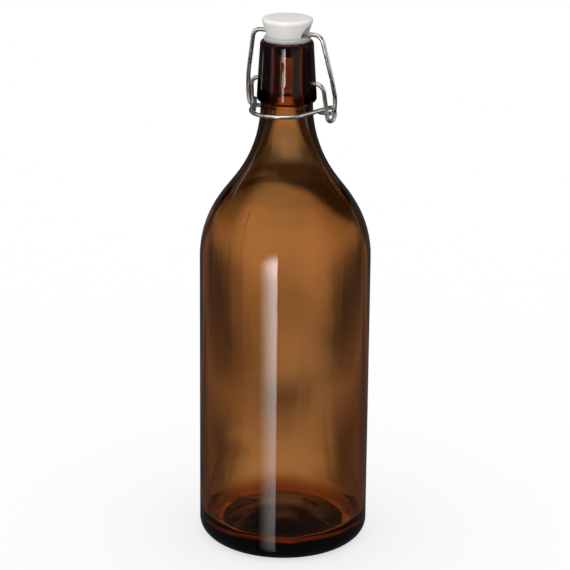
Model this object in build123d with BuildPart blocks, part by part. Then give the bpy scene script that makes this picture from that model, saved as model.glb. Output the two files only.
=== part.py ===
from build123d import *
from math import acos, atan2, cos, sin
import os

os.makedirs("parts", exist_ok=True)

# A one-litre swing top bottle. The origin is the middle of the base on the surface it stands on,
# +Z goes up the bottle's axis, X is the axis of the wire's pivots and -Y is the finger ring's side.
# All sizes are in mm.

# Bottle body, shoulder and neck
body_radius = 46.0              # just above the heel
body_top_radius = 45.6          # where the shoulder begins; the body tapers very slightly
heel_radius = 8.0
shoulder_start = 159.4
shoulder_arc = 55.9
neck_arc = 65.5
neck_radius = 13.8
neck_start = 242.0
wall = 3.4

# Base
standing_ring_outer = body_radius - heel_radius
standing_ring_inner = 34.6
punt_height = 5.5               # how far the underside is pushed up in the middle
floor_height = 13.0             # inside floor in the middle
floor_corner_height = 7.5       # lowest point of the inside floor, near the wall
floor_corner_arc = 9.5

# Collar at the top of the neck, which carries the wire
collar_bottom = 244.4
collar_radius = 15.75
collar_widest = 246.9
collar_edge = 1.5
collar_root = 0.5
collar_blend = 12.0            # softens the change from the widest part to the taper
mouth_height = 276.4
mouth_radius = 14.0
lip_round = 2.0
bore_radius = 8.0
bore_edge = 1.0
bore_bottom = 256.0             # the bore opens out towards the shoulder below this height
throat_arc = 100.0

# Wire closure
wire_radius = 1.12
pivot_height = 254.7
dimple_radius = 2.2
dimple_end_radius = 1.7
dimple_bottom = 11.4            # distance of the dimple's end from the bottle's axis
stub_end = 12.0                 # distance of the lever's ends from the bottle's axis
wire_end_chamfer = 0.25
arm_x = 20.45                   # where the lever's arms turn down
arm_bend = 4.4
eye_y = 6.2                     # the bail turns in the lever's eyes about this axis
eye_height = 238.1
eye_bend = 3.1
eye_head_bend = 3.0
ring_front = -22.4
ring_height = 240.5
ring_corner_x = 11.3
ring_arc = 14.8
ring_arm_bend = 8.0
crossbar_height = 280.4
crossbar_corner_x = 19.1
crossbar_bend = 4.8
bail_stub_end = 15.5
leg_foot_bend = 3.0
leg_lower_bend = 25.0
leg_upper_bend = 40.0
# corners of the lever's turn round the bail's end, from (arm_x, eye_y, eye_height)
eye_entry = (1.35, -2.0, -4.2)
eye_foot = (2.85, 3.8, -3.8)
eye_head = (2.45, 3.4, 3.2)
eye_exit = (-1.15, -4.4, 2.7)
# corners of the bail's bowed leg, from (crossbar_corner_x, eye_y, eye_height)
leg_foot = (5.2, 0, 0)
leg_bow = (6.0, -0.4, 8.0)
leg_shoulder = (4.8, -2.5, 18.5)

# Stopper and seal
seal_top = 278.7
seal_radius = 12.3
seal_edge = 0.9
seal_chamfer = 0.3
stopper_foot_radius = 10.7
stopper_rim_radius = 13.2
stopper_rim_height = 286.4
stopper_top = 288.4
stopper_dome = 0.35             # the top is very slightly domed
rim_round = 1.2
rim_taper = 0.3                 # the cap narrows again above its rim
shank_radius = 5.2              # through the seal
plug_radius = 7.0              # below the seal, inside the bore
plug_neck = 0.4                 # height over which the plug narrows to the shank
plug_tip_radius = 4.6
plug_tip_round = 1.2
plug_shoulder = 271.6
plug_bottom = 268.0
wire_clearance = 0.08
notch_radius = 4.9
notch_height = 280.6
notch_floor = 8.2               # distance of the notches' flat floors from the bottle's axis


def from_point(x, y, z, offset):
    """A point given by its offset from (x, y, z)."""
    return (x + offset[0], y + offset[1], z + offset[2])


def shoulder_tangents(radius, start, big_arc, small_arc, throat, throat_height):
    """Points of a shoulder, a round, a straight and a hollow that are all tangent, and its slope."""
    big = (radius - big_arc, start)
    small = (throat + small_arc, throat_height)
    dx = small[0] - big[0]
    dz = small[1] - big[1]
    reach = (dx * dx + dz * dz) ** 0.5
    turn = atan2(dz, dx) - acos((big_arc + small_arc) / reach)
    big_end = (big[0] + big_arc * cos(turn), big[1] + big_arc * sin(turn))
    big_middle = (big[0] + big_arc * cos(turn / 2), big[1] + big_arc * sin(turn / 2))
    small_end = (small[0] - small_arc * cos(turn), small[1] - small_arc * sin(turn))
    small_middle = (small[0] - small_arc * cos(turn / 2), small[1] - small_arc * sin(turn / 2))
    return big_middle, big_end, small_end, small_middle, (-sin(turn), cos(turn))


# Glass bottle: one revolved section, outside and inside
outside = shoulder_tangents(
    body_top_radius, shoulder_start, shoulder_arc, neck_arc, neck_radius, neck_start
)
inside = shoulder_tangents(
    body_top_radius - wall, shoulder_start, shoulder_arc - wall, throat_arc, bore_radius, bore_bottom
)
inner_radius = body_radius - wall
upward = (0, 1)
heel_middle = heel_radius * (1 - 0.5 ** 0.5)
corner_middle = floor_corner_arc * (1 - 0.5 ** 0.5)

with BuildPart() as glass_bottle:
    with BuildSketch(Plane.YZ) as section:
        with BuildLine():
            TangentArc((0, punt_height), (standing_ring_inner, 0), tangent=(1, 0))
            Line((standing_ring_inner, 0), (standing_ring_outer, 0))
            ThreePointArc(
                (standing_ring_outer, 0),
                (body_radius - heel_middle, heel_middle),
                (body_radius, heel_radius),
            )
            Line((body_radius, heel_radius), (body_top_radius, shoulder_start))
            Spline(
                (body_top_radius, shoulder_start),
                outside[0],
                outside[1],
                tangents=(upward, outside[4]),
            )
            Line(outside[1], outside[2])
            ThreePointArc(outside[2], outside[3], (neck_radius, neck_start))
            FilletPolyline(
                (neck_radius, neck_start),
                (neck_radius, collar_bottom),
                (collar_radius, collar_bottom),
                (collar_radius, collar_widest),
                (mouth_radius, mouth_height),
                (bore_radius, mouth_height),
                (bore_radius, bore_bottom),
                radius=[collar_root, collar_edge, collar_blend, lip_round, bore_edge],
            )
            ThreePointArc((bore_radius, bore_bottom), inside[3], inside[2])
            Line(inside[2], inside[1])
            Spline(
                (body_top_radius - wall, shoulder_start),
                inside[0],
                inside[1],
                tangents=(upward, inside[4]),
            )
            Line(
                (body_top_radius - wall, shoulder_start),
                (inner_radius, floor_corner_height + floor_corner_arc),
            )
            ThreePointArc(
                (inner_radius, floor_corner_height + floor_corner_arc),
                (inner_radius - corner_middle, floor_corner_height + corner_middle),
                (inner_radius - floor_corner_arc, floor_corner_height),
            )
            TangentArc(
                (0, floor_height),
                (inner_radius - floor_corner_arc, floor_corner_height),
                tangent=(1, 0),
            )
            Line((0, floor_height), (0, punt_height))
        make_face()
    revolve(axis=Axis.Z)
    # blind dimples for the lever's ends
    with Locations(Plane.YZ.offset(dimple_bottom).location * Pos(0, pivot_height, 0)):
        Cone(
            dimple_end_radius, dimple_radius, collar_radius - dimple_bottom,
            align=(Align.CENTER, Align.CENTER, Align.MIN), mode=Mode.SUBTRACT,
        )
    with Locations(Plane.YZ.offset(-dimple_bottom).location * Pos(0, pivot_height, 0) * Rot(180, 0, 0)):
        Cone(
            dimple_end_radius, dimple_radius, collar_radius - dimple_bottom,
            align=(Align.CENTER, Align.CENTER, Align.MIN), mode=Mode.SUBTRACT,
        )
glass_bottle.part.label = "glass_bottle"
export_step(glass_bottle.part, "parts/glass_bottle.step")

# Lever wire: a stub in the dimple, an arm, one turn as the bail's eye, and half of the finger ring
with BuildPart() as lever_wire:
    with BuildLine():
        lever_path = FilletPolyline(
            (stub_end, 0, pivot_height),
            (arm_x, 0, pivot_height),
            from_point(arm_x, eye_y, eye_height, eye_entry),
            from_point(arm_x, eye_y, eye_height, eye_foot),
            from_point(arm_x, eye_y, eye_height, eye_head),
            from_point(arm_x, eye_y, eye_height, eye_exit),
            (ring_corner_x, ring_front, ring_height),
            (0, ring_front, ring_height),
            radius=[arm_bend, eye_bend, eye_bend, eye_head_bend, ring_arm_bend, ring_arc],
        )
    with BuildSketch(Plane(lever_path @ 0, z_dir=lever_path % 0)):
        Circle(wire_radius)
    sweep(path=lever_path)
    mirror(about=Plane.YZ)
    ends = lever_wire.edges().filter_by(GeomType.CIRCLE).filter_by(Plane.YZ)
    chamfer([e for e in ends if abs(abs(e.center().X) - stub_end) < 0.01], length=wire_end_chamfer)
lever_wire.part.label = "lever_wire"
export_step(lever_wire.part, "parts/lever_wire.step")

# Bail wire: half of the crossbar, a leg that bows out round the collar, and a stub in the lever's eye
with BuildPart() as bail_wire:
    with BuildLine():
        bail_path = FilletPolyline(
            (bail_stub_end, eye_y, eye_height),
            from_point(crossbar_corner_x, eye_y, eye_height, leg_foot),
            from_point(crossbar_corner_x, eye_y, eye_height, leg_bow),
            from_point(crossbar_corner_x, eye_y, eye_height, leg_shoulder),
            (crossbar_corner_x, 0, crossbar_height),
            (0, 0, crossbar_height),
            radius=[leg_foot_bend, leg_lower_bend, leg_upper_bend, crossbar_bend],
        )
    with BuildSketch(Plane(bail_path @ 0, z_dir=bail_path % 0)):
        Circle(wire_radius)
    sweep(path=bail_path)
    mirror(about=Plane.YZ)
    ends = bail_wire.edges().filter_by(GeomType.CIRCLE).filter_by(Plane.YZ)
    chamfer([e for e in ends if abs(abs(e.center().X) - bail_stub_end) < 0.01], length=wire_end_chamfer)
bail_wire.part.label = "bail_wire"
export_step(bail_wire.part, "parts/bail_wire.step")

# Stopper: a flared cap, a shank through the seal and a plug that enters the bore
with BuildPart() as stopper:
    with BuildSketch(Plane.YZ) as section:
        with BuildLine():
            Polyline(
                (0, plug_bottom),
                (plug_tip_radius, plug_bottom),
                (plug_radius, plug_shoulder),
                (plug_radius, mouth_height - plug_neck),
                (shank_radius, mouth_height),
                (shank_radius, seal_top),
                (stopper_foot_radius, seal_top),
                (stopper_rim_radius, stopper_rim_height),
                (stopper_rim_radius - rim_taper, stopper_top - stopper_dome),
            )
            TangentArc(
                (0, stopper_top),
                (stopper_rim_radius - rim_taper, stopper_top - stopper_dome),
                tangent=(1, 0),
            )
            Line((0, stopper_top), (0, plug_bottom))
        make_face()
    revolve(axis=Axis.Z)
    circles = stopper.edges().filter_by(GeomType.CIRCLE)
    rims = [e for e in circles if e.center().Z > notch_height and e.radius > seal_radius]
    fillet(rims, radius=rim_round)
    fillet(stopper.edges().filter_by(GeomType.CIRCLE).sort_by(Axis.Z)[0], radius=plug_tip_round)
    # arched notch on each side, where the wire enters
    for side in (1, -1):
        with BuildSketch(Plane.YZ.offset(side * notch_floor)):
            with Locations((0, notch_height)):
                Circle(notch_radius)
            with Locations((0, seal_top)):
                Rectangle(
                    3 * notch_radius,
                    2 * notch_radius,
                    align=(Align.CENTER, Align.MAX),
                    mode=Mode.SUBTRACT,
                )
        extrude(amount=side * 2 * notch_radius, mode=Mode.SUBTRACT)
    # cross hole for the crossbar
    with BuildSketch(Plane.YZ):
        with Locations((0, crossbar_height)):
            Circle(wire_radius + wire_clearance)
    extrude(amount=stopper_rim_radius, both=True, mode=Mode.SUBTRACT)
stopper.part.label = "stopper"
export_step(stopper.part, "parts/stopper.step")

# Seal: a soft ring between the mouth and the stopper's cap
with BuildPart() as seal:
    with BuildSketch(Plane.YZ) as section:
        with BuildLine():
            Polyline(
                (shank_radius, mouth_height),
                (seal_radius - seal_chamfer, mouth_height),
                (seal_radius, mouth_height + seal_chamfer),
                (seal_radius, seal_top - seal_edge),
                (seal_radius - seal_edge, seal_top),
                (shank_radius, seal_top),
                close=True,
            )
        make_face()
    revolve(axis=Axis.Z)
seal.part.label = "seal"
export_step(seal.part, "parts/seal.step")
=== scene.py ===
from math import cos, exp, hypot, pi, radians, sin, tan

import bpy
from mathutils import Matrix, Vector


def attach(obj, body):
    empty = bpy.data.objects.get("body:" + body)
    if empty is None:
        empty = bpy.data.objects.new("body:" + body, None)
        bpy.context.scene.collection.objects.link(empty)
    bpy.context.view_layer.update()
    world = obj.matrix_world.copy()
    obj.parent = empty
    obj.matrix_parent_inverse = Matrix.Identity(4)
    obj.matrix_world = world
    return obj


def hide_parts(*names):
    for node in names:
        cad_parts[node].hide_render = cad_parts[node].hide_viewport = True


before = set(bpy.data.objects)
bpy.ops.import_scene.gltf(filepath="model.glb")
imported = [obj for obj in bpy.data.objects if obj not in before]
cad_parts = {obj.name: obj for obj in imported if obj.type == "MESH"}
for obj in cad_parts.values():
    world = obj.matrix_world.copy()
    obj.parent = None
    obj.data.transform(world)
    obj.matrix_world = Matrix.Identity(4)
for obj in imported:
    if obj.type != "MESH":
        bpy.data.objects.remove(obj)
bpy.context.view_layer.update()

MM = 0.001               # outlines below are in mm, as in the CAD, and objects are in metres

# ---------------------------------------------------------------- driving dimensions, mm
BODY_RADIUS = 46.0
BODY_TOP_RADIUS = 45.6
HEEL_RADIUS = 8.0
WALL = 3.4
SHOULDER_CORNER = 178.47         # where the body's line and the shoulder's straight would meet
NECK_CORNER = 219.66             # where the shoulder's straight and the neck's line would meet
SHOULDER_ARC = 55.9
NECK_ARC = 65.5
NECK_RADIUS = 13.8
INNER_SHOULDER_CORNER = 176.5
THROAT_CORNER = 223.42
THROAT_ARC = 100.0
COLLAR_BOTTOM = 244.4
COLLAR_RADIUS = 15.75
COLLAR_WIDEST = 246.9
MOUTH_RADIUS = 14.0
MOUTH_HEIGHT = 276.4
BORE_RADIUS = 8.0
STANDING_RING_INNER = 34.6
PUNT_HEIGHT = 5.5
FLOOR_HEIGHT = 13.0
FLOOR_CORNER_HEIGHT = 7.5
FLOOR_CORNER_ARC = 9.5
PIVOT_HEIGHT = 254.7
DIMPLE_RADIUS = 2.2
DIMPLE_END_RADIUS = 1.7
DIMPLE_BOTTOM = 11.4

# Azimuths on the bottle are counted from -Y, the finger ring's side, towards +X
SEAM_AZIMUTHS = (radians(-8.0), radians(172.0))
SEAM_HEIGHT = 0.16
SEAM_WIDTH = 0.24
DIMPLE_AZIMUTHS = (-pi / 2, pi / 2)

LATHE_COLUMNS = 168
CAP_STEPS = 12                   # rings of points in the dome of the floor, and in the push-up
CLOSEST_COLUMNS = 0.003          # radians


# ---------------------------------------------------------------- node helpers
def node_maker(tree):
    """A function that adds a node to the tree. Its inputs are values, or sockets to join to."""
    def node(kind, inputs=None, **attributes):
        n = tree.nodes.new("ShaderNode" + kind)
        for key, value in attributes.items():
            setattr(n, key, value)
        for key, value in (inputs or {}).items():
            if isinstance(value, bpy.types.NodeSocket):
                tree.links.new(value, n.inputs[key])
            else:
                n.inputs[key].default_value = value
        return n

    return node


def material(name):
    """A new node material with an empty tree, and functions that add and join nodes."""
    m = bpy.data.materials.new(name)
    m.use_nodes = True
    tree = m.node_tree
    tree.nodes.clear()
    out = tree.nodes.new("ShaderNodeOutputMaterial")
    return m, out, node_maker(tree), tree.links.new


def ramp(node, fac, stops, interpolation="LINEAR"):
    """A colour ramp over fac with (position, colour) stops."""
    r = node("ValToRGB", {"Fac": fac})
    r.color_ramp.interpolation = interpolation
    elements = r.color_ramp.elements
    while len(elements) > len(stops):
        elements.remove(elements[-1])
    while len(elements) < len(stops):
        elements.new(1.0)
    for element, (position, colour) in zip(elements, stops):
        element.position = position
        element.color = (*colour, 1.0)
    return r.outputs["Color"]


def grey(v):
    """A colour, or a plain number for a ramp, of one brightness."""
    return (v, v, v)


def math(node, operation, a, b=0.0):
    return node("Math", {0: a, 1: b}, operation=operation).outputs[0]


def along(node, place, direction):
    """How far place lies in a direction, in metres."""
    return node("VectorMath", {0: place, 1: direction}, operation="DOT_PRODUCT").outputs["Value"]


def smooth(node, value, low, high):
    """0 at low and 1 at high, with a smooth step between them."""
    return node("MapRange", {"Value": value, "From Min": low, "From Max": high},
                interpolation_type="SMOOTHSTEP").outputs[0]


def mix(node, factor, a, b):
    return node("Mix", {"Factor": factor, "A": a, "B": b}).outputs[0]


def paint(obj, m):
    obj.data.materials.clear()
    obj.data.materials.append(m)


# ---------------------------------------------------------------- materials
def amber_glass():
    m, out, node, link = material("amber_glass")
    place = node("NewGeometry").outputs["Position"]
    # faint ripples of moulded glass and a few fine scuffs
    ripple = node("TexNoise", {"Vector": place, "Scale": 55.0, "Detail": 2.0, "Roughness": 0.4})
    orange = node("TexNoise", {"Vector": place, "Scale": 900.0, "Detail": 2.0})
    first = node("Bump", {"Height": ripple.outputs["Fac"], "Strength": 0.03, "Distance": 0.002})
    second = node("Bump", {"Height": orange.outputs["Fac"], "Strength": 0.02, "Distance": 0.0002,
                           "Normal": first.outputs["Normal"]})
    smear = node("TexNoise", {"Vector": place, "Scale": 30.0, "Detail": 4.0, "Roughness": 0.6})
    rough = ramp(node, smear.outputs["Fac"], [(0.45, grey(0.0)), (0.8, grey(0.035))])
    shader = node("BsdfPrincipled", {
        "Base Color": (1.0, 1.0, 1.0, 1.0),
        "Roughness": rough,
        "IOR": 1.52,
        "Transmission Weight": 1.0,
        "Specular IOR Level": 0.5,
        "Normal": second.outputs["Normal"],
    })
    absorb = node("VolumeAbsorption", {"Color": (0.784, 0.540, 0.190, 1.0), "Density": 540.0})
    link(shader.outputs["BSDF"], out.inputs["Surface"])
    link(absorb.outputs["Volume"], out.inputs["Volume"])
    return m


def steel(name, shift_x):
    m, out, node, link = material(name)
    place = node("TexCoord").outputs["Object"]
    shift = node("VectorMath", {0: place, 1: (shift_x, 0.0, 0.0)}, operation="ADD").outputs[0]
    tone = node("TexNoise", {"Vector": shift, "Scale": 160.0, "Detail": 4.0, "Roughness": 0.6})
    colour = ramp(node, tone.outputs["Fac"],
                  [(0.3, (0.60, 0.575, 0.54)), (0.7, (0.74, 0.715, 0.68))])
    fine = node("TexNoise", {"Vector": shift, "Scale": 2600.0, "Detail": 3.0, "Roughness": 0.7})
    rough = ramp(node, tone.outputs["Fac"], [(0.35, grey(0.24)), (0.75, grey(0.34))])
    bump = node("Bump", {"Height": fine.outputs["Fac"], "Strength": 0.035, "Distance": 0.0001})
    shader = node("BsdfPrincipled", {
        "Base Color": colour,
        "Metallic": 1.0,
        "Roughness": rough,
        "Normal": bump.outputs["Normal"],
    })
    link(shader.outputs["BSDF"], out.inputs["Surface"])
    return m


def milky_plastic():
    m, out, node, link = material("stopper_plastic")
    place = node("TexCoord").outputs["Object"]
    cloud = node("TexNoise", {"Vector": place, "Scale": 90.0, "Detail": 3.0, "Roughness": 0.5})
    cap_colour = ramp(node, cloud.outputs["Fac"],
                      [(0.2, (0.895, 0.870, 0.840)), (0.8, (0.915, 0.892, 0.864))])
    # the plug inside the mouth is painted dark: painted shade, for the shadow down inside the mouth
    height = node("SeparateXYZ", {"Vector": place}).outputs["Z"]
    plug_painted_shade = smooth(node, height, (MOUTH_HEIGHT + 2.2) * MM, MOUTH_HEIGHT * MM)
    colour = node("Mix", {"Factor": plug_painted_shade, "A": cap_colour, "B": (0.07, 0.055, 0.045, 1.0)},
                  data_type="RGBA").outputs["Result"]
    fine = node("TexNoise", {"Vector": place, "Scale": 1500.0, "Detail": 3.0})
    # the flat top keeps its faces' own direction, so no shading shows between its long thin faces
    surface = node("NewGeometry").outputs
    upright = node("SeparateXYZ", {"Vector": surface["True Normal"]}).outputs["Z"]
    on_top = smooth(node, upright, 0.90, 0.98)
    facing = node("Mix", {"Factor": on_top, "A": surface["Normal"], "B": surface["True Normal"]},
                  data_type="VECTOR").outputs["Result"]
    bump = node("Bump", {"Height": fine.outputs["Fac"], "Strength": 0.04, "Distance": 0.0002,
                         "Normal": facing})
    rough = ramp(node, cloud.outputs["Fac"], [(0.2, grey(0.29)), (0.8, grey(0.35))])
    shader = node("BsdfPrincipled", {
        "Base Color": colour,
        "Roughness": rough,
        "IOR": 1.49,
        "Normal": bump.outputs["Normal"],
    })
    link(shader.outputs["BSDF"], out.inputs["Surface"])
    return m


def silicone():
    m, out, node, link = material("seal_rubber")
    place = node("TexCoord").outputs["Object"]
    cloud = node("TexNoise", {"Vector": place, "Scale": 300.0, "Detail": 3.0})
    colour = ramp(node, cloud.outputs["Fac"],
                  [(0.3, (0.74, 0.76, 0.73)), (0.7, (0.84, 0.85, 0.82))])
    bump = node("Bump", {"Height": cloud.outputs["Fac"], "Strength": 0.08, "Distance": 0.0003})
    rough = ramp(node, cloud.outputs["Fac"], [(0.3, grey(0.32)), (0.7, grey(0.45))])
    shader = node("BsdfPrincipled", {
        "Base Color": colour,
        "Roughness": rough,
        "Transmission Weight": 0.45,
        "IOR": 1.41,
        "Subsurface Weight": 0.3,
        "Subsurface Radius": (0.003, 0.003, 0.003),
        "Subsurface Scale": 1.0,
        "Normal": bump.outputs["Normal"],
    })
    link(shader.outputs["BSDF"], out.inputs["Surface"])
    return m


# ---------------------------------------------------------------- glass bottle
def rounded(corners):
    """Points of an outline of (r, z, rounding) corners, its arcs and straights cut fine."""
    points = []
    for i, (r, z, rounding) in enumerate(corners):
        here = Vector((r, z))
        if rounding == 0:
            points.append(here)
            continue
        before = (Vector(corners[i - 1][:2]) - here).normalized()
        after = (Vector(corners[i + 1][:2]) - here).normalized()
        half = before.angle(after) / 2
        centre = here + (before + after).normalized() * rounding / sin(half)
        start = here + before * rounding / tan(half)
        end = here + after * rounding / tan(half)
        turn = pi - 2 * half
        steps = max(5, int(turn * 180 / pi / 3.5))
        sign = 1 if (start - centre).cross(end - centre) > 0 else -1
        for k in range(steps + 1):
            points.append(centre + Matrix.Rotation(sign * turn * k / steps, 2) @ (start - centre))
    return points


def cap(radius, z_edge, z_middle, steps):
    """Points of a shallow dome from the axis out to its edge."""
    rise = z_edge - z_middle
    return [Vector((radius * k / steps, z_middle + rise * (k / steps) ** 2))
            for k in range(steps + 1)]


def cut(points, step_at):
    """The same outline with points no further apart than step_at(z, r)."""
    out = [points[0]]
    for a, b in zip(points, points[1:]):
        middle = (a + b) / 2
        n = max(1, int((b - a).length / step_at(middle.y, middle.x) + 0.5))
        out += [a.lerp(b, k / n) for k in range(1, n + 1)]
    return out


def bottle_outline():
    """The section from the underside's middle, up the outside and down the inside to the floor."""
    inner = BODY_RADIUS - WALL
    inner_top = BODY_TOP_RADIUS - WALL
    under = cap(STANDING_RING_INNER, 0.0, PUNT_HEIGHT, CAP_STEPS)
    walls = rounded([
        (STANDING_RING_INNER, 0.0, 0),
        (BODY_RADIUS, 0.0, HEEL_RADIUS),
        (BODY_TOP_RADIUS, SHOULDER_CORNER, SHOULDER_ARC),
        (NECK_RADIUS, NECK_CORNER, NECK_ARC),
        (NECK_RADIUS, COLLAR_BOTTOM, 0.5),
        (COLLAR_RADIUS, COLLAR_BOTTOM, 1.5),
        (COLLAR_RADIUS, COLLAR_WIDEST, 12.0),
        (MOUTH_RADIUS, MOUTH_HEIGHT, 2.0),
        (BORE_RADIUS, MOUTH_HEIGHT, 1.0),
        (BORE_RADIUS, THROAT_CORNER, THROAT_ARC),
        (inner_top, INNER_SHOULDER_CORNER, SHOULDER_ARC - WALL),
        (inner, FLOOR_CORNER_HEIGHT, FLOOR_CORNER_ARC),
        (inner - FLOOR_CORNER_ARC, FLOOR_CORNER_HEIGHT, 0),
    ])
    floor = cap(inner - FLOOR_CORNER_ARC, FLOOR_CORNER_HEIGHT, FLOOR_HEIGHT, CAP_STEPS)[::-1]

    def step_at(z, r):
        near = abs(z - PIVOT_HEIGHT) < DIMPLE_RADIUS + 0.8 and r > BORE_RADIUS + 1
        return 0.3 if near else 4.0

    return under[:-1] + cut(walls, step_at) + floor[1:]


def lathe_angles():
    """Azimuths of the lathe's columns: even ones, and closer ones at the seams and the dimples."""
    angles = [2 * pi * k / LATHE_COLUMNS for k in range(LATHE_COLUMNS)]
    for seam in SEAM_AZIMUTHS:
        angles += [seam + radians(0.45) * k for k in range(-5, 6)]
    for side in DIMPLE_AZIMUTHS:
        reach = (DIMPLE_RADIUS + 0.6) / COLLAR_RADIUS
        angles += [side + reach * k / 10 for k in range(-10, 11)]
    angles = sorted(a % (2 * pi) for a in angles)
    kept = [angles[0]]
    for a in angles[1:]:
        if a - kept[-1] > CLOSEST_COLUMNS:
            kept.append(a)
    return kept


def smooth_step(x):
    x = min(1.0, max(0.0, x))
    return x * x * (3 - 2 * x)


def around(a, b):
    """The signed angle from b to a."""
    return (a - b + pi) % (2 * pi) - pi


def bottle_radius(r, z, azimuth, outside):
    """The lathe's radius with the seam, the dimples and the uneven wall of blown glass."""
    if outside:
        for seam in SEAM_AZIMUTHS:
            across = around(azimuth, seam) * r
            on_neck = 0.06 + 0.94 * smooth_step((z - 165.0) / 30.0)
            above_heel = smooth_step((z - 6.0) / 8.0)
            below_mouth = smooth_step((MOUTH_HEIGHT - 1.0 - z) / 3.0)
            r += SEAM_HEIGHT * on_neck * above_heel * below_mouth * exp(-(across / SEAM_WIDTH) ** 2)
        for side in DIMPLE_AZIMUTHS:
            distance = hypot(around(azimuth, side) * COLLAR_RADIUS, z - PIVOT_HEIGHT)
            inwards = (DIMPLE_RADIUS - distance) / (DIMPLE_RADIUS - DIMPLE_END_RADIUS)
            sunk = smooth_step(inwards * 0.75)
            r -= (r - DIMPLE_BOTTOM) * sunk
    elif z > FLOOR_CORNER_HEIGHT + 6:
        amount = smooth_step((z - 14.0) / 25.0) * smooth_step((r - 9.0) / 8.0)
        r += amount * (
            0.22 * sin(2 * azimuth + z * 0.021 + 0.6)
            + 0.12 * sin(3 * azimuth - z * 0.034 + 2.1)
            + 0.10 * sin(z * 0.055 + azimuth)
        )
    return r


def floor_lift(r, z, azimuth):
    """How far the inside floor lies above its even height, near the wall."""
    amount = smooth_step((r - 12.0) / 22.0) * smooth_step((24.0 - z) / 14.0)
    return amount * (
        0.55 * sin(2 * azimuth + 0.7)
        + 0.30 * sin(5 * azimuth + 2.0)
        + 0.22 * sin(9 * azimuth + 0.4)
        + 0.12 * sin(17 * azimuth + 1.3)
    )


def build_bottle():
    outline = bottle_outline()
    angles = lathe_angles()
    n = len(angles)
    lip = max(range(len(outline)), key=lambda i: outline[i].y)
    verts = [(0, 0, outline[0].y * MM)]
    for i, p in enumerate(outline[1:-1], start=1):
        outside = i <= lip and p.x > STANDING_RING_INNER
        for a in angles:
            r = bottle_radius(p.x, p.y, a, outside) if i > CAP_STEPS else p.x
            z = p.y + (floor_lift(p.x, p.y, a) if i > lip else 0.0)
            verts.append((r * sin(a) * MM, -r * cos(a) * MM, z * MM))
    verts.append((0, 0, outline[-1].y * MM))
    rings = len(outline) - 2
    faces = [(0, 1 + (k + 1) % n, 1 + k) for k in range(n)]
    for j in range(rings - 1):
        a = 1 + j * n
        b = a + n
        faces += [(a + k, a + (k + 1) % n, b + (k + 1) % n, b + k) for k in range(n)]
    last = 1 + (rings - 1) * n
    faces += [(last + k, last + (k + 1) % n, len(verts) - 1) for k in range(n)]
    mesh = bpy.data.meshes.new("bottle_glass")
    mesh.from_pydata(verts, [], faces)
    mesh.validate()
    mesh.shade_smooth()
    obj = bpy.data.objects.new("bottle_glass", mesh)
    bpy.context.collection.objects.link(obj)
    return obj


bottle = build_bottle()
paint(bottle, amber_glass())
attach(bottle, "bottle")
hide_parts("glass_bottle")

paint(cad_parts["lever_wire"], steel("lever_steel", 0.0))
paint(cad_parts["bail_wire"], steel("bail_steel", 3.0))
paint(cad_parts["stopper"], milky_plastic())
paint(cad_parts["seal"], silicone())


# ---------------------------------------------------------------- stage, lights and camera
def stage_mesh(name, verts, faces, m):
    mesh = bpy.data.meshes.new(name)
    mesh.from_pydata(verts, [], faces)
    obj = bpy.data.objects.new(name, mesh)
    bpy.context.collection.objects.link(obj)
    paint(obj, m)
    return obj


def stage_plane(name, corners, m):
    return stage_mesh(name, corners, [tuple(range(len(corners)))], m)


def stage_ring(name, circles, n, m):
    """A ring round the bottle's axis between two circles, each given as (radius, height)."""
    verts = []
    for r, z in circles:
        verts += [(r * cos(2 * pi * k / n), r * sin(2 * pi * k / n), z) for k in range(n)]
    faces = [(k, (k + 1) % n, n + (k + 1) % n, n + k) for k in range(n)]
    return stage_mesh(name, verts, faces, m)


def seen_only_by(obj, kind):
    """Only one kind of ray sees the object: "transmission", through the glass, or "glossy"."""
    obj.visible_camera = False
    obj.visible_diffuse = False
    obj.visible_glossy = kind == "glossy"
    obj.visible_transmission = kind == "transmission"
    obj.visible_shadow = False


PHOTO_AZIMUTH = radians(24.5)
AWAY = Vector((-sin(PHOTO_AZIMUTH), cos(PHOTO_AZIMUTH), 0))     # away from the camera
RIGHT = Vector((cos(PHOTO_AZIMUTH), sin(PHOTO_AZIMUTH), 0))
TENT_RADIUS = 0.25               # of the tent wall round the bottle, seen only through the glass
TENT_HEIGHT = 0.60
THROUGH_LEVEL = 0.55             # how bright the open room is through the glass
COLLAR_LEVEL = 0.02              # through the thick glass of the collar and neck, edge on
TENT_SIDES = 96
SHADE_RADIUS = 0.075             # a dark band close round the shoulder, seen only through the glass
SHADE_WALL_FOOT = 0.156          # of the wall that carries it, below where the band has faded out
SHADE_LOW = 0.168                # the band's foot, which rises to the left and drops to the right
SHADE_RISE = 0.009
SHADE_DROP = 0.010
SHADE_HIGH = 0.197
SHADE_SOFT_FOOT = 0.0085
SHADE_SOFT_TOP = 0.013
SHADE_DEPTH = 0.88               # share of the light that the band stops
BOTH_WALLS = 3.5                 # light through both walls has crossed four faces of the glass
VIEW_DISTANCE = 1.2              # about how far away the bands are looked at, for their widths
FLOOR_HALF = 6.0
BASE_INNER = 0.0385              # the floor is dark under the base, from about this radius in
BASE_OUTER = 0.0425
CARD_RADIUS = 0.10               # of the small cards round the neck and the collar
STRIP_AZIMUTH = -18.0            # degrees from the photograph's, of the collar's highlight
STRIP_FLAG_HEIGHT = 0.2365


def seen_through_bottle(node):
    """1 for light that came through both walls of the bottle, 0 where it stayed in one wall."""
    return math(node, "GREATER_THAN", node("LightPath").outputs["Transmission Depth"], BOTH_WALLS)


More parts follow.
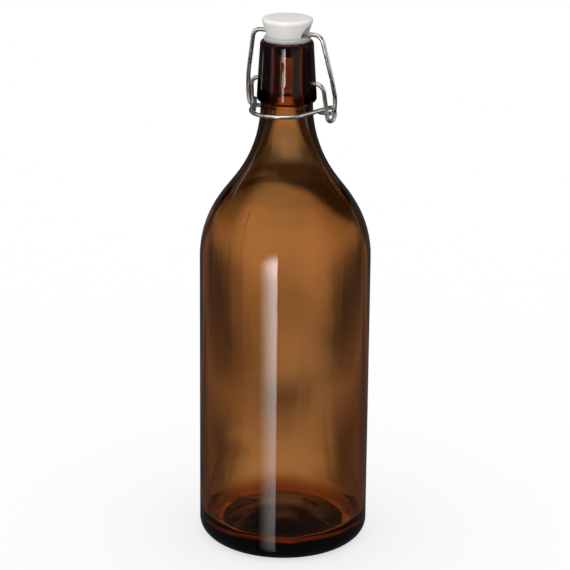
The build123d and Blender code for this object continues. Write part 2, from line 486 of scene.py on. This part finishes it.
# The tent wall and the floor are lit in soft bands. A band's place is its height on the wall, and
# below zero its distance in from the wall's foot over the floor. Each band is (place, brightness).
BAND_LOW = -0.25
BAND_HIGH = 0.25
MIDDLE_BANDS = [(-0.19, 0.62), (-0.14, 0.95), (-0.063, 0.10), (-0.033, 0.36), (0.012, 0.92),
                (0.048, 0.38), (0.086, 1.20), (0.104, 0.60), (0.122, 0.62), (0.140, 0.50),
                (0.152, 0.48), (0.166, 0.66), (0.184, 0.52), (0.200, 1.25), (0.218, 2.0),
                (0.245, 0.05)]
SIDE_BANDS = [(-0.19, 0.70), (-0.15, 0.90), (-0.05, 0.50), (-0.005, 0.54), (0.040, 0.46),
              (0.088, 1.45), (0.106, 0.70), (0.126, 0.40), (0.145, 0.10), (0.165, 0.18),
              (0.20, 1.0), (0.218, 1.0), (0.245, 0.04)]
EDGE_BANDS = [(-0.18, 0.22), (-0.13, 0.09), (-0.06, 0.56), (-0.02, 0.22), (0.030, 0.03),
              (0.058, 0.14), (0.080, 0.9), (0.112, 0.20), (0.14, 0.04), (0.20, 0.05)]


def banded(node, place, bands):
    fac = node("MapRange", {"Value": place, "From Min": BAND_LOW, "From Max": BAND_HIGH}).outputs[0]
    stops = [((p - BAND_LOW) / (BAND_HIGH - BAND_LOW), grey(v)) for p, v in bands]
    return ramp(node, fac, stops, "B_SPLINE")


def stretched_noise(node, across, up, fine, coarse, **inputs):
    """Noise in a plane, its scale fine across and coarse along."""
    place = node("CombineXYZ", {"X": math(node, "MULTIPLY", across, fine),
                                "Y": math(node, "MULTIPLY", up, coarse)}).outputs[0]
    return node("TexNoise", {"Vector": place, "Scale": 1.0, **inputs}).outputs


def tent_light(node, position, height):
    """The brightness of the tent wall or floor at a position."""
    across = along(node, position, RIGHT)
    depth = along(node, position, AWAY)
    perspective = math(node, "ADD", 1.0, math(node, "DIVIDE", depth, VIEW_DISTANCE))
    off_centre = math(node, "ABSOLUTE", math(node, "DIVIDE", across, perspective))
    streaks = stretched_noise(node, across, height, 130.0, 5.0, Detail=3.0)["Fac"]
    drift = stretched_noise(node, across, height, 16.0, 22.0, Detail=1.0)["Color"]
    wobble = math(node, "MULTIPLY", math(node, "SUBTRACT", streaks, 0.5), 0.016)
    sway = math(node, "MULTIPLY", math(node, "SUBTRACT", drift, 0.5), 0.030)
    off_centre = math(node, "ADD", off_centre, math(node, "ADD", wobble, sway))
    # the bands sag towards the sides, as a straight line does when it is seen through a round wall
    sag = math(node, "MULTIPLY", math(node, "MULTIPLY", off_centre, off_centre), 7.0)
    height = math(node, "SUBTRACT", height, math(node, "SUBTRACT", sag, sway))
    middle = banded(node, height, MIDDLE_BANDS)
    side = banded(node, height, SIDE_BANDS)
    edge = banded(node, height, EDGE_BANDS)
    inner = mix(node, smooth(node, off_centre, 0.002, 0.026), middle, side)
    full = mix(node, smooth(node, off_centre, 0.017, 0.046), inner, edge)
    open_room = smooth(node, off_centre, 0.12, 0.20)
    full = mix(node, open_room, full, THROUGH_LEVEL)
    return full, edge


def floor_material():
    m, out, node, link = material("floor")
    place = node("NewGeometry").outputs["Position"]
    matt = node("BsdfDiffuse", {"Color": (0.9, 0.9, 0.9, 1.0)})
    to_camera = node("LightPath").outputs["Is Camera Ray"]
    shown = node("Emission", {"Strength": mix(node, to_camera, 0.40, 0.64)})
    lit = node("AddShader")
    link(matt.outputs[0], lit.inputs[0])
    link(shown.outputs[0], lit.inputs[1])
    # the floor's light through the glass, with a painted shadow under the base, faint flecks of
    # light in it, and a painted bright ring under the base's rim
    reach = node("VectorMath", {0: place}, operation="LENGTH").outputs["Value"]
    band = math(node, "SUBTRACT", reach, TENT_RADIUS)
    full, edge = tent_light(node, place, band)
    beside_base = smooth(node, reach, BASE_INNER, BASE_OUTER)
    # painted shadow under the base, lit only by faint streaky flecks
    shadow_flecks = stretched_noise(node, along(node, place, AWAY), along(node, place, RIGHT), 420.0, 60.0,
                            Detail=4.0, Roughness=0.65)["Fac"]
    base_painted_shadow = math(node, "MULTIPLY", smooth(node, shadow_flecks, 0.58, 0.78), 0.035)
    patch = node("TexNoise", {"Vector": place, "Scale": 70.0, "Detail": 3.0, "Roughness": 0.6})
    # a painted bright ring of light under the rim of the base
    ring = math(node, "MULTIPLY", smooth(node, reach, 0.0320, 0.0350),
                smooth(node, patch.outputs["Fac"], 0.30, 0.62))
    base_painted_shadow = mix(node, ring, base_painted_shadow, 0.85)
    through = mix(node, beside_base, base_painted_shadow, full)
    beside_heel = math(node, "MULTIPLY", smooth(node, reach, 0.070, 0.050), 0.55)
    within = mix(node, beside_base, base_painted_shadow, math(node, "MAXIMUM", edge, beside_heel))
    strength = mix(node, seen_through_bottle(node), within, through)
    inside = node("Emission", {"Strength": strength})
    choose = node("MixShader", {"Fac": node("LightPath").outputs["Is Transmission Ray"]})
    link(lit.outputs[0], choose.inputs[1])
    link(inside.outputs[0], choose.inputs[2])
    link(choose.outputs[0], out.inputs["Surface"])
    return m


def tent_material():
    m, out, node, link = material("tent")
    place = node("NewGeometry").outputs["Position"]
    height = node("SeparateXYZ", {"Vector": place}).outputs["Z"]
    full, edge = tent_light(node, place, height)
    within = mix(node, smooth(node, height, 0.145, 0.185), edge, COLLAR_LEVEL)
    shine = node("Emission", {"Strength": mix(node, seen_through_bottle(node), within, full)})
    link(shine.outputs[0], out.inputs["Surface"])
    return m


def shade_material():
    """A black band with soft edges. Its foot hangs lower to the right, as in the photograph."""
    m, out, node, link = material("shoulder_shade")
    place = node("NewGeometry").outputs["Position"]
    height = node("SeparateXYZ", {"Vector": place}).outputs["Z"]
    across = along(node, place, RIGHT)
    rise = math(node, "MULTIPLY", smooth(node, across, 0.020, -0.022), SHADE_RISE)
    drop = math(node, "MULTIPLY", smooth(node, across, 0.012, 0.040), -SHADE_DROP)
    foot = math(node, "ADD", math(node, "ADD", rise, drop), SHADE_LOW)
    above_foot = smooth(node, math(node, "SUBTRACT", height, foot), 0.0, SHADE_SOFT_FOOT)
    below_top = smooth(node, height, SHADE_HIGH, SHADE_HIGH - SHADE_SOFT_TOP)
    shade = math(node, "MULTIPLY", above_foot, below_top)
    clear = node("BsdfTransparent")
    black = node("Emission", {"Strength": 0.02})
    choose = node("MixShader", {"Fac": math(node, "MULTIPLY", shade, SHADE_DEPTH)})
    link(clear.outputs[0], choose.inputs[1])
    link(black.outputs[0], choose.inputs[2])
    link(choose.outputs[0], out.inputs["Surface"])
    return m


def square(half, z):
    """Corners of a level square round the axis."""
    return [(-half, -half, z), (half, -half, z), (half, half, z), (-half, half, z)]


floor = stage_plane("floor", square(FLOOR_HALF, 0), floor_material())
floor.visible_glossy = False

# two low round walls that only light through the glass sees
tent_circles = ((TENT_RADIUS, 0.0), (TENT_RADIUS, TENT_HEIGHT))
shade_circles = ((SHADE_RADIUS, SHADE_WALL_FOOT), (SHADE_RADIUS, SHADE_HIGH))
tent = stage_ring("tent", tent_circles, TENT_SIDES, tent_material())
shade = stage_ring("shoulder_shade", shade_circles, TENT_SIDES, shade_material())
seen_only_by(tent, "transmission")
seen_only_by(shade, "transmission")


def build_world():
    """White to the camera, soft to matt surfaces, dim in reflections, grey through the bottle."""
    world = bpy.data.worlds.new("studio")
    bpy.context.scene.world = world
    world.use_nodes = True
    world.node_tree.nodes.clear()
    node = node_maker(world.node_tree)
    ray = node("LightPath")
    through = mix(node, seen_through_bottle(node), COLLAR_LEVEL, 0.4)
    matt = mix(node, ray.outputs["Is Diffuse Ray"], 1.0, 0.5)
    glossy = mix(node, ray.outputs["Is Glossy Ray"], matt, 0.08)
    strength = mix(node, ray.outputs["Is Transmission Ray"], glossy, through)
    sky = node("Background", {"Strength": strength})
    node("OutputWorld", {"Surface": sky.outputs[0]})


build_world()

CAMERA_DISTANCE = 1.111
CAMERA_HEIGHT = 0.52425
CAMERA_TILT = radians(18.97)
CAMERA_ROLL = radians(0.546)
CAMERA_LENS = 138.28

camera = bpy.data.objects.new("camera", bpy.data.cameras.new("camera"))
bpy.context.collection.objects.link(camera)
camera.data.lens = CAMERA_LENS
camera.data.sensor_width = 36.0
camera.data.clip_start = 0.05
camera.data.clip_end = 50.0
camera.location = (CAMERA_DISTANCE * sin(PHOTO_AZIMUTH),
                   -CAMERA_DISTANCE * cos(PHOTO_AZIMUTH),
                   CAMERA_HEIGHT)
turn = Matrix.Rotation(PHOTO_AZIMUTH, 4, "Z") @ Matrix.Rotation(pi / 2 - CAMERA_TILT, 4, "X")
camera.rotation_euler = (turn @ Matrix.Rotation(CAMERA_ROLL, 4, "Z")).to_euler()
bpy.context.scene.camera = camera
bpy.context.scene.view_settings.view_transform = "Standard"


def card_material(name, strength, soft_left, soft_right, soft_foot, soft_head, dim_foot=1.0):
    """A soft box that fades in from its edges. The soft_ values are shares of its size.

    Its Generated coordinates run across and along it. At its foot it is dim_foot times as bright.
    """
    m, out, node, link = material(name)
    place = node("SeparateXYZ", {"Vector": node("TexCoord").outputs["Generated"]})
    across = place.outputs["X"]
    up = place.outputs["Y"]
    # the left edge leans in towards the head, which rounds it
    lean = math(node, "MULTIPLY", smooth(node, up, 1.0 - soft_head, 1.0), -0.45 * soft_left)
    left = smooth(node, math(node, "ADD", across, lean), 0.0, soft_left)
    sides = math(node, "MULTIPLY", left, smooth(node, across, 1.0, 1.0 - soft_right))
    head = smooth(node, up, 1.0, 1.0 - soft_head)
    ends = math(node, "MULTIPLY", smooth(node, up, 0.0, soft_foot), head)
    fall = node("MapRange", {"Value": up, "From Min": 0.35, "From Max": 0.9, "To Min": dim_foot,
                             "To Max": 1.0}, interpolation_type="SMOOTHSTEP").outputs[0]
    shape = math(node, "MULTIPLY", sides, ends)
    level = math(node, "MULTIPLY", shape, math(node, "MULTIPLY", fall, strength))
    shine = node("Emission", {"Color": (1.0, 1.0, 1.0, 1.0), "Strength": level})
    link(shine.outputs[0], out.inputs["Surface"])
    return m


def soft_box(name, azimuth_deg, distance, width, low, high, strength, soft=(0.3, 0.3, 0.1, 0.1),
             dim_foot=1.0):
    """A standing soft box that only reflections see, at an azimuth from the photograph's side.

    soft is how far it fades in from its left and right, looking at the bottle, its foot and head.
    """
    corners = [(0, 0, 0), (width, 0, 0), (width, high - low, 0), (0, high - low, 0)]
    obj = stage_plane(name, corners, card_material(name, strength, *soft, dim_foot))
    seen_only_by(obj, "glossy")
    a = PHOTO_AZIMUTH + radians(azimuth_deg)
    middle = Vector((distance * sin(a), -distance * cos(a), low))
    side = Vector((cos(a), sin(a), 0))
    up = Vector((0, 0, 1))
    normal = side.cross(up)
    obj.matrix_world = Matrix.Translation(middle - side * width / 2) @ Matrix((
        (side.x, up.x, normal.x, 0),
        (side.y, up.y, normal.y, 0),
        (side.z, up.z, normal.z, 0),
        (0, 0, 0, 1),
    ))


soft_box("key_strip", -22.2, 0.62, 0.29, -0.75, 0.34, 13.5, (0.95, 0.05, 0.08, 0.18), 0.06)
soft_box("collar_strip", STRIP_AZIMUTH, 0.06, 0.0125, 0.2375, 0.2625, 6.0, (0.75, 0.1, 0.05, 0.3))
soft_box("neck_shade", STRIP_AZIMUTH, 0.096, 0.040, 0.2040, 0.2450, 0.0)
soft_box("neck_left", -62.0, CARD_RADIUS, 0.030, 0.2085, 0.226, 1.3, (0.45, 0.45, 0.5, 0.3))
soft_box("neck_right", 87.0, CARD_RADIUS, 0.040, 0.2105, 0.232, 0.6, (0.4, 0.4, 0.4, 0.3))
soft_box("collar_left", -112.0, CARD_RADIUS, 0.020, 0.225, 0.262, 0.9, (0.4, 0.4, 0.3, 0.3))
soft_box("collar_haze_left", -62.0, CARD_RADIUS, 0.055, 0.2355, 0.275, 0.35, (0.4, 0.4, 0.1, 0.2))
soft_box("collar_haze_right", 35.0, CARD_RADIUS, 0.130, 0.2355, 0.275, 0.30, (0.3, 0.3, 0.1, 0.2))


def flag_material():
    m, out, node, link = material("flag")
    link(node("Emission", {"Strength": 0.0}).outputs[0], out.inputs["Surface"])
    return m


# black flags that keep the cards round the neck and the collar out of the shoulder's reflections
for name, height in (("neck_flag", 0.2035), ("haze_flag", 0.2345)):
    flag = stage_ring(name, ((0.045, height), (0.115, height)), 48, flag_material())
    seen_only_by(flag, "glossy")

strip_azimuth = PHOTO_AZIMUTH + radians(STRIP_AZIMUTH)
strip_out = Vector((sin(strip_azimuth), -cos(strip_azimuth), 0))
strip_side = Vector((cos(strip_azimuth), sin(strip_azimuth), 0)) * 0.016
strip_corners = [strip_out * reach + strip_side * side + Vector((0, 0, STRIP_FLAG_HEIGHT))
                 for reach, side in ((0.030, -1), (0.030, 1), (0.062, 1), (0.062, -1))]
seen_only_by(stage_plane("strip_flag", strip_corners, flag_material()), "glossy")

overhead_card = card_material("overhead", 0.65, 0.3, 0.3, 0.3, 0.3)
seen_only_by(stage_plane("overhead", square(0.6, 1.3), overhead_card), "glossy")


def link_collection(name, members):
    group = bpy.data.collections.new(name)
    for member in members:
        group.objects.link(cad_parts[member])
    return group


wires = link_collection("wires", ("lever_wire", "bail_wire"))
closure_top = link_collection("closure_top", ("stopper", "seal"))


def area_light(name, azimuth_deg, elevation_deg, distance, size, energy, receivers):
    """A soft light round the bottle's top. Azimuth 0 is the camera's side, and 90 its right."""
    data = bpy.data.lights.new(name, "AREA")
    data.shape = "RECTANGLE"
    data.size, data.size_y = size
    data.energy = energy
    obj = bpy.data.objects.new(name, data)
    bpy.context.collection.objects.link(obj)
    a = PHOTO_AZIMUTH + radians(azimuth_deg)
    e = radians(elevation_deg)
    target = Vector((0, 0, 0.26))
    from_target = Vector((sin(a) * cos(e), -cos(a) * cos(e), sin(e)))
    obj.location = target + from_target * distance
    obj.rotation_euler = from_target.to_track_quat("Z", "Y").to_euler()
    obj.visible_camera = False
    obj.visible_transmission = False
    obj.light_linking.receiver_collection = receivers


area_light("wire_top", -10, 65, 0.6, (0.7, 0.6), 2.0, wires)
area_light("wire_left", -70, 5, 0.6, (0.5, 0.6), 1.5, wires)
area_light("wire_right", 75, 5, 0.6, (0.5, 0.6), 1.2, wires)
area_light("wire_front", 0, -35, 0.6, (0.5, 0.4), 1.0, wires)
area_light("stopper_top", -20, 60, 0.6, (0.5, 0.5), 2.9, closure_top)
